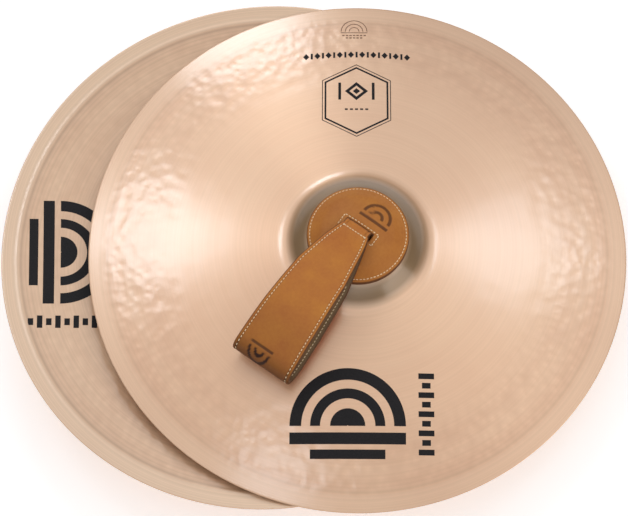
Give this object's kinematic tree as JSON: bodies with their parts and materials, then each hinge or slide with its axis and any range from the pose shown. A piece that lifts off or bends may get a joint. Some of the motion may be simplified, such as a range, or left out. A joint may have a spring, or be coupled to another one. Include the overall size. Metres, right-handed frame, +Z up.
{
  "type": "hand cymbals",
  "caption": "Hand cymbals laid face to face, bells outwards: thin bronze plates, each with a stitched leather bell pad and a tapered leather hand loop knotted inside the bell.",
  "frame": {"origin": "centre of the outline of both cymbals together, at the level of the surface that they lie on", "axes": "+Z up along the lower cymbal's axis, from its bell to its rim; +X from the lower cymbal's centre towards the upper one's; -Y towards the viewer"},
  "size_m": [0.5334, 0.457, 0.1325],
  "materials": {
    "bronze": "satin lathed bronze with hammer marks and a clear natural finish",
    "pad_leather": "smooth tan leather",
    "strap_leather": "smooth tan leather, burnished dark at the fold and edges",
    "lining_leather": "matt brown split leather",
    "lace_leather": "dull tan lace leather",
    "felt": "grey wool felt",
    "thread": "waxed cream thread"
  },
  "bodies": {
    "lower_plate": {"lower_cymbal": "bronze"},
    "lower_pad": {"lower_pad_cover": "pad_leather", "lower_pad_felt": "felt", "lower_pad_backing": "lining_leather", "lower_pad_edge_thread": "thread", "lower_pad_slot_thread": "thread", "lower_strap_neck": "lace_leather", "lower_strap_knot": "lace_leather", "lower_strap_tails": "lace_leather"},
    "lower_hand_strap": {"lower_strap_outer": "strap_leather", "lower_strap_lining": "lining_leather", "lower_strap_edge_thread": "thread", "lower_strap_cross_thread": "thread"},
    "upper_plate": {"upper_cymbal": "bronze"},
    "upper_pad": {"upper_pad_cover": "pad_leather", "upper_pad_felt": "felt", "upper_pad_backing": "lining_leather", "upper_pad_edge_thread": "thread", "upper_pad_slot_thread": "thread", "upper_strap_neck": "lace_leather", "upper_strap_knot": "lace_leather", "upper_strap_tails": "lace_leather"},
    "upper_hand_strap": {"upper_strap_outer": "strap_leather", "upper_strap_lining": "lining_leather", "upper_strap_edge_thread": "thread", "upper_strap_cross_thread": "thread"}
  },
  "joints": [
    {"name": "lower_pad_swivel", "type": "hinge", "parent": "lower_plate", "child": "lower_pad", "pos_m": [-0.0382, 0, 0.0166], "axis": [0, 0, 1], "continuous": true},
    {"name": "lower_strap_swing", "type": "hinge", "parent": "lower_pad", "child": "lower_hand_strap", "pos_m": [-0.0382, 0, 0.0045], "axis": [0, 1, 0], "range_deg": [0, 178]},
    {"name": "upper_lift", "type": "slide", "parent": "lower_plate", "child": "upper_plate", "axis": [0, 0, 1], "range_m": [0, 0.3]},
    {"name": "upper_pad_swivel", "type": "hinge", "parent": "upper_plate", "child": "upper_pad", "pos_m": [0.04174, 0, 0.11942], "axis": [0.0558, 0, 0.9984], "continuous": true},
    {"name": "upper_strap_swing", "type": "hinge", "parent": "upper_pad", "child": "upper_hand_strap", "pos_m": [0.04174, 0, 0.11942], "axis": [-0.843, 0.5358, 0.0471], "range_deg": [0, 178]}
  ]
}
